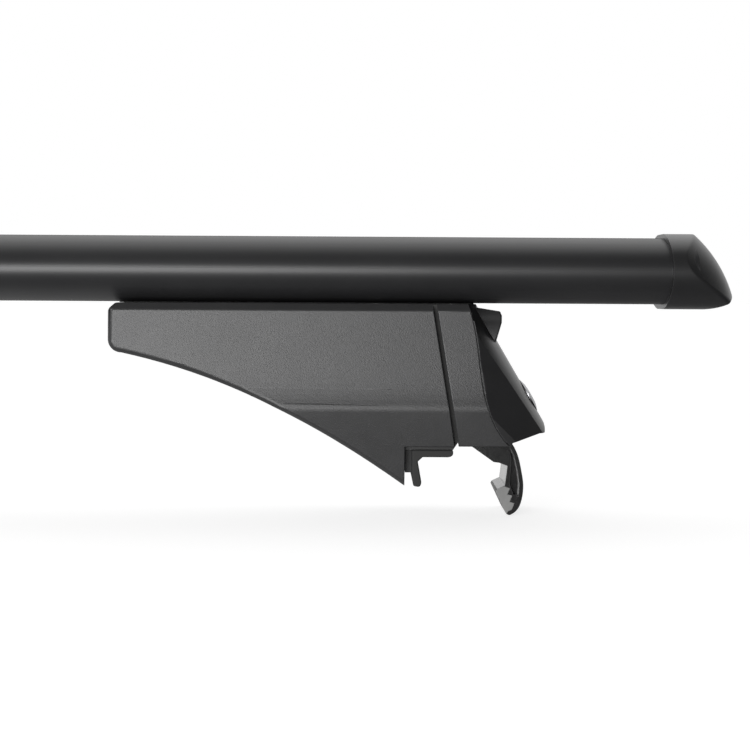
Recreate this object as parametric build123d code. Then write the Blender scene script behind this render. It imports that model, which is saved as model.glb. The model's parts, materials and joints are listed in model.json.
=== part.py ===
from build123d import *
import math
import os

# Roof rack crossbar: an oval bar with a foot near each end that clamps a flush roof rail.
# Millimetres. +X along the bar, +Z up, Z = 0 at the lowest points of the two clamp jaws.
# Foot pieces are drawn with x = 0 at the rail's inner side and z = 0 at the bar's underside.

# Bar extrusion
BAR_LENGTH = 1200.0
BAR_WIDTH = 60.0
BAR_OVAL_HEIGHT = 30.8
BAR_FLAT_WIDTH = 14.0
BAR_WALL = 1.8
SLOT_MOUTH = 11.0
SLOT_CHAMBER_WIDTH = 22.0
SLOT_CHAMBER_HEIGHT = 6.0
SLOT_LIP = 2.5
WEB_SPACING = 16.0
STRIP_BARB = 0.7
STRIP_DEPTH = 4.2
STRIP_CROWN = 0.4

# End cap
CAP_RIM = 2.2
CAP_SLEEVE = 12.0
CAP_REACH = 19.6
CAP_TOP_RUN = 14.2
CAP_SIDE_RADIUS = 40.0
CAP_SLOPE_RADIUS = 59.0
CAP_NOSE_RISE = 8.2
CAP_NOSE_RUN = 14.0
ROUND_PULL = 0.5523
CAP_EDGE_RADIUS = 1.8
TONGUE_LENGTH = 14.0
TONGUE_WIDTH = 5.5
TONGUE_HEIGHT = 11.0
TONGUE_INSET = 14.6

# Foot, overall
RAIL_SPAN = 954.0
RAIL_DROP = 69.0
HOOK_DEPTH = 26.4
FOOT_WIDTH = 56.0
SHELL_WALL = 2.5
TOP_GAP = 0.4
TOP_CHAMFER = 3.0
CREASE_RISE = 22.3
CREASE_RADIUS = 3.0
FLARE_DEPTH = 1.8
FLARE_HEIGHT = 13.0
LOWER_DRAFT = 17.0
SEAM_GAP = 1.8
SEAM_TOP = 5.0
SEAM_ANGLE = 9.3

# Inner fairing
FAIRING_LENGTH = 139.5
FAIRING_END_DROP = 22.7
FAIRING_CORNER = 6.0
FAIRING_START_ANGLE = 12.0
FAIRING_TIP_ANGLE = 36.0
TIP_DROP = 13.5
NOTCH_RISE = 4.8
NOTCH_BACK = 6.8
FAIRING_RIBS = 4
RIB_THICKNESS = 1.8
RIB_WINDOW_SHARE = 0.5
RIB_WINDOW_DROP = 14.0

# Outer housing and lock cover
HOUSING_RISE = 5.0
PARTING_TOP = 20.9
PARTING_UPPER = (5.3, 43.3)
PARTING_LOWER = (9.6, 20.8)
PARTING_FOOT = 19.3
PARTING_GAP = 0.4
COVER_TOP = 25.9
COVER_FOOT = 56.7
COVER_FOOT_RISE = 15.8
COVER_BOTTOM_RISE = 8.2
CHEEK_ANGLE = 22.0
CHEEK_START = (29.2, 31.5)
CHEEK_END = (41.7, 8.4)
CROWN_RADIUS = 46.0
GUIDE_RISE = 35.0
GUIDE_HEIGHT = 7.0
GUIDE_BACK = 5.0
GUIDE_REACH = 11.0
GRIP_WIDTH = 24.0
GRIP_REACH = 37.3
GRIP_DROP = 17.4
GRIP_EDGE_RADIUS = 0.8

# Bracket and rail pad
PLATE = 3.0
TOP_PLATE = 4.0
BRACKET_INSET = 8.5
BRACKET_BACK = 24.0
BRACKET_FRONT = 19.0
BRACKET_KNEE = 30.0
PAD_THICKNESS = 3.3
PAD_INSET = 7.0
PAD_REACH = 14.9
PAD_LEG_DROP = 13.4
PAD_LEG_BACK = 3.6
TONGUE_DROP = 7.5
TONGUE_PLATE_INSET = 4.5

# Clamp
JAW_PLAY = 0.5
PIVOT_X = 30.6
PIVOT_RISE = 11.7
PIN_RADIUS = 4.0
PIN_END = 1.5
CLIP_THICKNESS = 0.8
CLIP_RIM = 2.2
CLIP_GAP = 3.6
GROOVE_DEPTH = 0.8
LEVER = 20.0
LEVER_REST_ANGLE = 147.0
JAW_SWING = 24.0
BOLT_ANGLE = 45.0
BOLT_RADIUS = 3.0
BOLT_LENGTH = 35.0
BOLT_HEAD_RADIUS = 5.0
BOLT_HEAD_HEIGHT = 6.0
HEX_ACROSS = 5.0
SEAT_OFFSET = 13.8
SEAT_PLATE = 3.5
SEAT_HALF = 6.5
WASHER_THICKNESS = 1.6
WASHER_RADIUS = 6.25
BARREL_RADIUS = 6.0
ARM_INNER = 8.0
ARM_INSET = 2.0
ARM_BOSS = 9.0
JAW_FLANGE = 1.8
JAW_POCKET = 3.0
TOOTH_COUNT = 3

# Fixings to the bar
T_BOLT_RADIUS = 4.0
T_BOLT_PLACES = (-15.0, 3.0)
T_HEAD_LENGTH = 12.0
T_HEAD_HEIGHT = 4.6
T_BOLT_REACH = 18.0
NUT_ACROSS = 13.0
NUT_HEIGHT = 8.0
NUT_FLANGE_RADIUS = 8.8
NUT_FLANGE = 1.6
SCREW_RADIUS = 2.0
SCREW_HEAD_RADIUS = 3.8
SCREW_LENGTH = 10.0
SCREW_BOSS_RADIUS = 4.2
SCREW_INSET = 5.0
SCREW_PLACES = (-20.0, 13.5)

# Lock
LOCK_RISE = 26.8
LOCK_BODY_RADIUS = 6.7
LOCK_BODY_LENGTH = 12.5
LOCK_DOME_RADIUS = 8.4
LOCK_DOME_HEIGHT = 1.7
PLUG_RADIUS = 5.0
KEYWAY_WIDTH = 1.4
KEYWAY_HEIGHT = 6.4
KEYWAY_DEPTH = 5.0
CAM_THICKNESS = 1.5
CAM_LENGTH = 13.0
CAM_WIDTH = 6.0
CATCH_TIP = 9.0
CATCH_THICKNESS = 2.0

# Clearances
SLIDE_CLEARANCE = 0.3
RUNNING_CLEARANCE = 0.05
CUT_MARGIN = 1.0

RAIL_Z = -RAIL_DROP
CREASE_Z = RAIL_Z + CREASE_RISE
UNDERSIDE_Z = RAIL_DROP + HOOK_DEPTH
FOOT_X = RAIL_SPAN / 2
HALF_FOOT = FOOT_WIDTH / 2
HALF_BODY = HALF_FOOT - FLARE_DEPTH
HALF_BRACKET = HALF_FOOT - BRACKET_INSET
HALF_PAD = HALF_FOOT - PAD_INSET
HALF_JAW = HALF_BRACKET - PLATE - JAW_PLAY
ARM_OUTER = HALF_JAW - ARM_INSET
SCREW_Y = HALF_BRACKET - SCREW_INSET
OVAL_A = BAR_WIDTH / 2
OVAL_B = BAR_OVAL_HEIGHT / 2
FLAT_Z = OVAL_B * math.sqrt(1 - (BAR_FLAT_WIDTH / BAR_WIDTH) ** 2)
BAR_Z = UNDERSIDE_Z + FLAT_Z
SIDES = (-1, 1)


def side_face(points):
    """Closed outline in the X-Z plane."""
    return Plane.XZ * make_face(Polyline(*points, close=True))


def slab(outline, half_width):
    """Outline in the X-Z plane, as thick as twice half_width about Y = 0."""
    return extrude(outline, half_width, both=True)


def bar_shape(section, length):
    """Section in the Y-Z plane, extruded along X about the middle."""
    return extrude(Plane.YZ * section, length / 2, both=True)


def block(x_low, x_high, y_low, y_high, z_low, z_high):
    """Box between two corners."""
    centre = Pos((x_low + x_high) / 2, (y_low + y_high) / 2, (z_low + z_high) / 2)
    return centre * Box(x_high - x_low, y_high - y_low, z_high - z_low)


def cross_pin(x, z, radius, half_width):
    """Cylinder along Y."""
    return Pos(x, 0, z) * Rot(90, 0, 0) * Cylinder(radius, 2 * half_width)


def along(x, z, angle):
    """Frame at x, z whose Z axis points along an angle above +X in the X-Z plane."""
    direction = Vector(math.cos(math.radians(angle)), 0, math.sin(math.radians(angle)))
    return Plane(origin=(x, 0, z), x_dir=(0, 1, 0), z_dir=direction).location


# Bar, slot strip and end caps
def slot_cut(top):
    """T-shaped slot section that opens at the top or the underside."""
    mouth_height = SLOT_LIP + CUT_MARGIN
    mouth_z = FLAT_Z - SLOT_LIP + mouth_height / 2
    chamber_z = FLAT_Z - SLOT_LIP - SLOT_CHAMBER_HEIGHT / 2
    return Pos(0, top * mouth_z) * Rectangle(SLOT_MOUTH, mouth_height) + Pos(0, top * chamber_z) * Rectangle(
        SLOT_CHAMBER_WIDTH, SLOT_CHAMBER_HEIGHT
    )


def flattened_oval(grow):
    """Bar outline, or one that is larger all round, with its flat land at the underside."""
    oval = Ellipse(OVAL_A + grow, OVAL_B + grow)
    return oval & Rectangle(2 * (OVAL_A + grow), 2 * (FLAT_Z + grow))


def bar_section():
    channel_width = SLOT_CHAMBER_WIDTH + 2 * BAR_WALL
    channel_depth = SLOT_LIP + SLOT_CHAMBER_HEIGHT + BAR_WALL
    hollow = flattened_oval(-BAR_WALL)
    for top in SIDES:
        hollow -= Pos(0, top * (FLAT_Z - channel_depth / 2)) * Rectangle(channel_width, channel_depth)
        hollow -= Pos(top * WEB_SPACING / 2, 0) * Rectangle(BAR_WALL, BAR_OVAL_HEIGHT)
    section = flattened_oval(0) - hollow
    for top in SIDES:
        section -= slot_cut(top)
    return section


def bar():
    return Pos(0, 0, BAR_Z) * bar_shape(bar_section(), BAR_LENGTH)


def slot_strip():
    """Rubber strip that closes the top slot: a plug with a barb under each lip."""
    half = SLOT_MOUTH / 2
    top = FLAT_Z
    lip = FLAT_Z - SLOT_LIP
    half_outline = [
        (half, top),
        (half, lip),
        (half + STRIP_BARB, lip),
        (half - STRIP_BARB, top - STRIP_DEPTH),
        (half - 3 * STRIP_BARB, top - STRIP_DEPTH),
        (half - 3 * STRIP_BARB, lip),
    ]
    edges = [
        ThreePointArc((-half, top), (0, top + STRIP_CROWN), (half, top)),
        Polyline(*half_outline, *[(-y, z) for y, z in reversed(half_outline)]),
    ]
    plug_length = BAR_LENGTH - 2 * CAP_SLEEVE - 2 * SLIDE_CLEARANCE
    return Pos(0, 0, BAR_Z) * bar_shape(make_face(edges), plug_length)


def end_cap():
    """Cap at the +X end: a sleeve over the bar, closed by a slanted, crowned face."""
    rim_x = BAR_LENGTH / 2 - CAP_SLEEVE
    end_x = BAR_LENGTH / 2 + CAP_REACH
    top = OVAL_B + CAP_RIM
    bottom = -(FLAT_Z + CAP_RIM)
    length = end_x - rim_x
    body = Pos(rim_x + length / 2, 0, 0) * bar_shape(flattened_oval(CAP_RIM), length)
    shoulder = (rim_x + CAP_TOP_RUN, top)
    nose = (end_x, bottom + CAP_NOSE_RISE)
    chord = Vector(nose[0] - shoulder[0], 0, nose[1] - shoulder[1])
    middle = Vector((nose[0] + shoulder[0]) / 2, 0, (nose[1] + shoulder[1]) / 2)
    inward = Vector(chord.Z, 0, -chord.X).normalized()
    depth = math.sqrt(CAP_SLOPE_RADIUS**2 - (chord.length / 2) ** 2)
    hub = middle + inward * depth
    reach = CAP_SLOPE_RADIUS - CAP_SIDE_RADIUS
    crown_half = CAP_SIDE_RADIUS * 0.9
    crown_end = math.sqrt(CAP_SIDE_RADIUS**2 - crown_half**2)
    crown = make_face(
        [
            ThreePointArc((reach + crown_end, -crown_half), (CAP_SLOPE_RADIUS, 0), (reach + crown_end, crown_half)),
            Polyline((reach + crown_end, crown_half), (0, crown_half), (0, -crown_half), (reach + crown_end, -crown_half)),
        ]
    )
    dome = Pos(hub.X, 0, hub.Z) * revolve(Plane.XY * crown, Axis.Y)
    run_x = end_x - CAP_NOSE_RUN
    pull = CAP_NOSE_RUN * ROUND_PULL
    drop = CAP_NOSE_RISE * ROUND_PULL
    underside = [
        Bezier((run_x, bottom), (run_x + pull, bottom), (end_x, nose[1] - drop), nose),
        Polyline(nose, (end_x, top + CUT_MARGIN), (rim_x, top + CUT_MARGIN), (rim_x, bottom), (run_x, bottom)),
    ]
    cap = body & dome & slab(Plane.XZ * make_face(underside), OVAL_A + 2 * CAP_RIM)
    cap = cap.solids().sort_by(SortBy.VOLUME)[-1]
    slope_edges = [e for e in cap.edges() if e.center().X > rim_x + CUT_MARGIN and e.length > 2 * CAP_RIM]
    cap = fillet(slope_edges, CAP_EDGE_RADIUS)
    pocket = Pos(rim_x, 0, 0) * bar_shape(flattened_oval(0), 2 * CAP_SLEEVE)
    cap -= pocket
    floor_x = BAR_LENGTH / 2
    for side in SIDES:
        y = side * (TONGUE_INSET + TONGUE_WIDTH / 2)
        tongue = Box(TONGUE_LENGTH, TONGUE_WIDTH, TONGUE_HEIGHT)
        cap += Pos(floor_x - TONGUE_LENGTH / 2, y, 0) * chamfer(tongue.edges().group_by(Axis.X)[0], 0.8)
    return Pos(0, 0, BAR_Z) * cap


# Outlines of the foot's moulded shells
def seam_x(z):
    """Place of the seam between the fairing and the outer housing at a height."""
    return SEAM_TOP - z * math.tan(math.radians(SEAM_ANGLE))


def fairing_outline(inset):
    """Side outline of the fairing, or with an inset the outline of the hollow behind its end and keel."""
    left = inset - FAIRING_LENGTH
    end_z = inset - FAIRING_END_DROP
    top_z = -TOP_GAP - inset
    notch_z = RAIL_Z + NOTCH_RISE
    corner = FAIRING_CORNER - inset
    tip_angle = math.radians(FAIRING_TIP_ANGLE)
    start_angle = math.radians(FAIRING_START_ANGLE)
    tip = (-NOTCH_BACK, RAIL_Z - TIP_DROP + inset / math.cos(tip_angle))
    start = (left + corner, end_z)
    lower = Spline(
        start,
        tip,
        tangents=[(math.cos(angle), -math.sin(angle)) for angle in (start_angle, tip_angle)],
    )
    front = [(seam_x(notch_z), notch_z), (seam_x(top_z), top_z)]
    rim = [
        Line((left, top_z), (left, end_z + corner)),
        JernArc((left, end_z + corner), (0, -1), corner, 90),
        lower,
        Polyline(tip, (-NOTCH_BACK, notch_z), *front, (left, top_z)),
    ]
    return Plane.XZ * make_face(rim)


def parting_curve(shift):
    """Line between the outer housing and the lock cover, from the top to the bottom."""
    top_x = PARTING_TOP + shift
    return Spline(
        (top_x, -TOP_GAP),
        (top_x + PARTING_UPPER[0], RAIL_Z + PARTING_UPPER[1]),
        (top_x + PARTING_LOWER[0], RAIL_Z + PARTING_LOWER[1]),
        (top_x + PARTING_FOOT, RAIL_Z + HOUSING_RISE),
    )


def housing_outline():
    low_z = RAIL_Z + HOUSING_RISE
    right = parting_curve(0)
    rest = Polyline(
        right @ 1,
        (seam_x(low_z) + SEAM_GAP, low_z),
        (seam_x(-TOP_GAP) + SEAM_GAP, -TOP_GAP),
        right @ 0,
    )
    return Plane.XZ * make_face([right, rest])


def flare_at(drop):
    """How far the side has flared out at a distance below the start of the flare."""
    radius = (FLARE_HEIGHT**2 + FLARE_DEPTH**2) / (2 * FLARE_DEPTH)
    return radius - math.sqrt(radius**2 - drop**2)


def half_width(z):
    """Half the foot's width at a height: straight, then flared out to the crease, then drawn in."""
    if z < CREASE_Z:
        return HALF_FOOT - (CREASE_Z - z) * math.tan(math.radians(LOWER_DRAFT))
    return HALF_BODY + flare_at(max(0.0, CREASE_Z + FLARE_HEIGHT - z))


def foot_section(inset):
    """Width of the foot at each height, seen along the bar."""
    low_z = RAIL_Z - TIP_DROP - CUT_MARGIN
    top_z = -TOP_GAP - inset
    flare_z = CREASE_Z + FLARE_HEIGHT
    middle_z = CREASE_Z + FLARE_HEIGHT / 2
    body = HALF_BODY - inset
    corners = [(body - TOP_CHAMFER, top_z), (body, top_z - TOP_CHAMFER), (body, flare_z)]
    low = (half_width(low_z) - inset, low_z)
    crease = (HALF_FOOT - inset, CREASE_Z)
    edges = [Line(corners[0], (-corners[0][0], top_z)), Line(low, (-low[0], low_z))]
    for side in SIDES:
        edges.append(Polyline(*[(side * y, z) for y, z in corners]))
        flare = [(body, flare_z), (half_width(middle_z) - inset, middle_z), crease]
        edges.append(ThreePointArc(*[(side * y, z) for y, z in flare]))
        edges.append(Line((side * crease[0], CREASE_Z), (side * low[0], low_z)))
    section = make_face(edges)
    creases = [v for v in section.vertices() if abs(v.Y - CREASE_Z) < CUT_MARGIN / 2]
    return fillet(creases, CREASE_RADIUS)


def foot_envelope(inset):
    return bar_shape(foot_section(inset), 3 * FAIRING_LENGTH)


def with_screw_bosses(shell, x):
    """Adds two bosses under the bracket's top plate, each joined to a side wall, and drills them."""
    top_z = -SLIDE_CLEARANCE - TOP_PLATE
    low_z = -SLIDE_CLEARANCE - SCREW_LENGTH
    for side in SIDES:
        inner = side * (SCREW_Y - SCREW_BOSS_RADIUS)
        outer = side * (HALF_FOOT - SHELL_WALL / 2)
        shell += block(
            x - SCREW_BOSS_RADIUS, x + SCREW_BOSS_RADIUS, min(inner, outer), max(inner, outer), low_z, top_z
        )
        shell -= Pos(x, side * SCREW_Y, low_z) * Cylinder(SCREW_RADIUS, 2 * SCREW_LENGTH)
    return shell


def inner_fairing():
    """Long moulded shell, open over the notch and towards the seam, with ribs inside."""
    end_bevel = side_face(
        [
            (-FAIRING_LENGTH, -TOP_GAP - TOP_CHAMFER),
            (-FAIRING_LENGTH, CUT_MARGIN),
            (-FAIRING_LENGTH + TOP_CHAMFER + CUT_MARGIN, CUT_MARGIN),
            (-FAIRING_LENGTH + TOP_CHAMFER, -TOP_GAP),
        ]
    )
    outer = slab(fairing_outline(0), HALF_FOOT) & foot_envelope(0)
    outer -= slab(end_bevel, FOOT_WIDTH)
    inner = slab(fairing_outline(SHELL_WALL), HALF_FOOT)
    inner += block(
        -NOTCH_BACK - CUT_MARGIN,
        3 * PARTING_TOP,
        -HALF_FOOT,
        HALF_FOOT,
        RAIL_Z + NOTCH_RISE - CUT_MARGIN,
        -TOP_GAP - SHELL_WALL,
    )
    shell = outer - (inner & foot_envelope(SHELL_WALL))
    rib_pitch = (FAIRING_LENGTH - BRACKET_BACK - FAIRING_CORNER) / (FAIRING_RIBS + 1)
    window_half = HALF_FOOT * RIB_WINDOW_SHARE
    for index in range(1, FAIRING_RIBS + 1):
        x = -FAIRING_LENGTH + FAIRING_CORNER + index * rib_pitch
        rib = block(x, x + RIB_THICKNESS, -HALF_FOOT, HALF_FOOT, RAIL_Z - TIP_DROP, -TOP_GAP - SHELL_WALL)
        window = block(
            x - CUT_MARGIN, x + RIB_THICKNESS + CUT_MARGIN, -window_half, window_half, -RIB_WINDOW_DROP, 0
        )
        shell += (rib - window) & outer
    bracket_room = block(
        -BRACKET_BACK - SLIDE_CLEARANCE,
        3 * PARTING_TOP,
        -HALF_BRACKET - SLIDE_CLEARANCE,
        HALF_BRACKET + SLIDE_CLEARANCE,
        CREASE_Z - CREASE_RISE / 2,
        CUT_MARGIN,
    )
    notch_wall = block(-NOTCH_BACK - SHELL_WALL, -NOTCH_BACK, -HALF_FOOT, HALF_FOOT, RAIL_Z - TIP_DROP, RAIL_Z + PLATE)
    shell = shell - bracket_room + (notch_wall & outer & foot_envelope(SHELL_WALL / 2))
    return with_screw_bosses(shell, SCREW_PLACES[0])


def outer_housing():
    """Moulded shell between the seam and the lock cover: two sides joined by a deck."""
    outer = slab(housing_outline(), HALF_FOOT) & foot_envelope(0)
    deck_top = -SLIDE_CLEARANCE - TOP_PLATE
    inner = block(
        -FAIRING_LENGTH, 3 * PARTING_TOP, -HALF_FOOT, HALF_FOOT, RAIL_Z - TIP_DROP, deck_top - SHELL_WALL
    ) & foot_envelope(SHELL_WALL)
    bracket_room = block(
        -FAIRING_LENGTH,
        BRACKET_FRONT + SLIDE_CLEARANCE,
        -HALF_BRACKET - SLIDE_CLEARANCE,
        HALF_BRACKET + SLIDE_CLEARANCE,
        deck_top,
        CUT_MARGIN,
    )
    nut_x = T_BOLT_PLACES[-1]
    nut_room = Pos(nut_x, 0, deck_top) * Cylinder(NUT_FLANGE_RADIUS + SLIDE_CLEARANCE, 4 * NUT_HEIGHT)
    shell = outer - inner - bracket_room - nut_room
    return with_screw_bosses(shell, SCREW_PLACES[1])


# Lock cover
def cover_line():
    """Middle line of the cover's front face, from its top to its foot."""
    return (COVER_TOP, -TOP_GAP), (COVER_FOOT, RAIL_Z + COVER_FOOT_RISE)


def face_angle():
    """Angle above +X of the front face's outward normal."""
    top, low = cover_line()
    return math.degrees(math.atan2(low[0] - top[0], top[1] - low[1]))


def cover_outline():
    left = parting_curve(PARTING_GAP)
    top, low = cover_line()
    corner_z = RAIL_Z + COVER_BOTTOM_RISE
    edges = [
        left,
        Polyline(left @ 0, top, low),
        ThreePointArc(low, (low[0] + 0.3, low[1] - 2.4), (low[0] - 0.3, low[1] - 4.8)),
        Polyline((low[0] - 0.3, low[1] - 4.8), (low[0] - 3.0, corner_z + 2.6), (low[0] - 15.4, corner_z - 1.4), left @ 1),
    ]
    return Plane.XZ * make_face(edges)


def crown(inset):
    """Long cylinder whose front is the cover's crowned face."""
    top, low = cover_line()
    angle = face_angle()
    depth = CROWN_RADIUS
    middle = ((top[0] + low[0]) / 2, (top[1] + low[1]) / 2)
    centre_x = middle[0] - depth * math.cos(math.radians(angle))
    centre_z = middle[1] - depth * math.sin(math.radians(angle))
    return along(centre_x, centre_z, angle + 90) * Cylinder(CROWN_RADIUS - inset, 3 * RAIL_DROP)


def cheek_cutter(side, inset):
    """Half-space outside a cheek, which leans inwards from a line on the foot's side."""
    ends = []
    for x, rise in (CHEEK_START, CHEEK_END):
        ends.append(Vector(x, side * half_width(RAIL_Z + rise), RAIL_Z + rise))
    line = (ends[1] - ends[0]).normalized()
    across = Vector(-line.Z, 0, line.X).normalized()
    lean = math.radians(CHEEK_ANGLE)
    along_cheek = across * math.cos(lean) + Vector(0, -side, 0) * math.sin(lean)
    outward = along_cheek.cross(line).normalized() * side
    origin = ends[0] - outward * inset
    size = 4 * RAIL_DROP
    return Plane(origin=origin, x_dir=line, z_dir=outward).location * Pos(0, 0, size / 2) * Box(size, size, size)


def grip_outline():
    reach = GRIP_REACH
    return side_face(
        [
            (COVER_TOP - 3.0, -TOP_GAP - 1.0),
            (reach - 0.8, -TOP_GAP - 3.2),
            (reach, -TOP_GAP - 5.2),
            (reach - 0.1, -TOP_GAP - 8.3),
            (reach - 2.9, -TOP_GAP - GRIP_DROP),
            (reach - 12.0, -TOP_GAP - GRIP_DROP),
        ]
    )


def lock_point():
    """Middle of the lock on the cover's front face."""
    top, low = cover_line()
    z = RAIL_Z + LOCK_RISE
    return top[0] + (low[0] - top[0]) * (top[1] - z) / (top[1] - low[1]), z


def lock_cover():
    """Cover that pulls straight off, with a crowned face, leaning cheeks and a finger grip."""
    outline = cover_outline()
    outer = slab(outline, HALF_FOOT) & crown(0) & foot_envelope(0)
    for side in SIDES:
        outer -= cheek_cutter(side, 0)
    grip = slab(grip_outline(), GRIP_WIDTH / 2)
    grip_edges = [e for e in grip.edges() if e.center().X > COVER_TOP + 6]
    grip = fillet(grip_edges, GRIP_EDGE_RADIUS)
    floor_x = COVER_FOOT - 11.0
    roof_z = -TOP_GAP - SHELL_WALL
    inside = block(0, 3 * COVER_FOOT, -HALF_FOOT, HALF_FOOT, RAIL_Z + COVER_BOTTOM_RISE + 4.5, roof_z)
    inside += block(0, floor_x, -HALF_FOOT, HALF_FOOT, RAIL_Z, roof_z)
    inside = inside & crown(SHELL_WALL) & foot_envelope(SHELL_WALL)
    for side in SIDES:
        inside -= cheek_cutter(side, SHELL_WALL)
    cover = outer + grip - inside
    guide_z = RAIL_Z + GUIDE_RISE
    for side in SIDES:
        y_inner = side * (HALF_BRACKET + 2 * SLIDE_CLEARANCE)
        y_outer = side * (HALF_BODY - SHELL_WALL - SLIDE_CLEARANCE)
        guide = block(
            PARTING_TOP - GUIDE_BACK,
            PARTING_TOP + GUIDE_REACH,
            min(y_inner, y_outer),
            max(y_inner, y_outer),
            guide_z,
            guide_z + GUIDE_HEIGHT,
        )
        cover += guide
    x, z = lock_point()
    cover -= along(x, z, face_angle()) * Cylinder(LOCK_BODY_RADIUS, 4 * LOCK_DOME_RADIUS)
    return cover


def lock_bezel():
    """Lock case: a tube through the cover with a domed flange."""
    x, z = lock_point()
    tube = Pos(0, 0, -LOCK_BODY_LENGTH / 2) * Cylinder(LOCK_BODY_RADIUS, LOCK_BODY_LENGTH)
    ball_radius = (LOCK_DOME_RADIUS**2 + LOCK_DOME_HEIGHT**2) / (2 * LOCK_DOME_HEIGHT)
    dome = Pos(0, 0, LOCK_DOME_HEIGHT - ball_radius) * Sphere(ball_radius)
    dome = dome & Pos(0, 0, LOCK_DOME_HEIGHT) * Cylinder(LOCK_DOME_RADIUS, 2 * LOCK_DOME_HEIGHT)
    case = tube + dome - Cylinder(PLUG_RADIUS + RUNNING_CLEARANCE, 4 * LOCK_BODY_LENGTH)
    return along(x, z, face_angle()) * case


def lock_plug():
    x, z = lock_point()
    front = LOCK_DOME_HEIGHT * 0.55
    back = -LOCK_BODY_LENGTH - SLIDE_CLEARANCE
    plug = Pos(0, 0, (front + back) / 2) * Cylinder(PLUG_RADIUS, front - back)
    plug -= Pos(0, 0, front - KEYWAY_DEPTH / 2) * Box(KEYWAY_WIDTH, KEYWAY_HEIGHT, KEYWAY_DEPTH)
    return along(x, z, face_angle()) * plug


def lock_cam():
    """Flat cam on the back of the plug, pointing up the face when unlocked."""
    x, z = lock_point()
    back = -LOCK_BODY_LENGTH - SLIDE_CLEARANCE
    hub = Cylinder(PLUG_RADIUS + 1.0, CAM_THICKNESS)
    arm = Pos(0, CAM_LENGTH / 2, 0) * Box(CAM_WIDTH, CAM_LENGTH, CAM_THICKNESS)
    return along(x, z, face_angle()) * Pos(0, 0, back - CAM_THICKNESS / 2) * (hub + arm)


# Bracket, pad and clamp
def pivot():
    return PIVOT_X, RAIL_Z + PIVOT_RISE


def barrel_rest():
    x, z = pivot()
    angle = math.radians(LEVER_REST_ANGLE)
    return x + LEVER * math.cos(angle), z + LEVER * math.sin(angle)


def bolt_line():
    """Point of the bolt's axis that the barrel nut passes halfway through the jaw's swing."""
    x, z = pivot()
    angle = math.radians(BOLT_ANGLE + 90)
    reach = LEVER * (1 + math.cos(math.radians(JAW_SWING / 2))) / 2
    return x + reach * math.cos(angle), z + reach * math.sin(angle)


def bolt_frame(offset_along):
    x, z = bolt_line()
    return along(x, z, BOLT_ANGLE) * Pos(0, 0, offset_along)


def bracket_side_outline():
    """Side plate of the bracket: under the bar, down to the pad and out to the pivot."""
    pivot_x, pivot_z = pivot()
    plate_low = RAIL_Z + PAD_THICKNESS
    shoulder_z = -SCREW_LENGTH - 2 * SLIDE_CLEARANCE
    back_x = SCREW_PLACES[0] + SCREW_BOSS_RADIUS + SLIDE_CLEARANCE
    front_x = SEAM_TOP + SEAM_GAP
    points = [
        (-BRACKET_BACK, shoulder_z),
        (back_x, shoulder_z),
        (back_x, -SLIDE_CLEARANCE),
        (front_x, -SLIDE_CLEARANCE),
        (front_x, shoulder_z),
        (BRACKET_FRONT, shoulder_z),
        (BRACKET_FRONT, RAIL_Z + 55.0),
        (BRACKET_FRONT + 6.0, RAIL_Z + 42.0),
        (BRACKET_FRONT + 15.0, RAIL_Z + 31.0),
        (BRACKET_FRONT + 22.0, RAIL_Z + 20.0),
        (pivot_x + 8.0, pivot_z - 3.0),
        (pivot_x + 3.0, pivot_z - 6.2),
        (PAD_REACH + 2.0, plate_low + PLATE),
        (PAD_REACH, plate_low),
        (-NOTCH_BACK + 0.2, plate_low),
        (-NOTCH_BACK + 0.2, plate_low + 8.0),
        (-BRACKET_BACK, -BRACKET_KNEE),
    ]
    return side_face(points)


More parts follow.
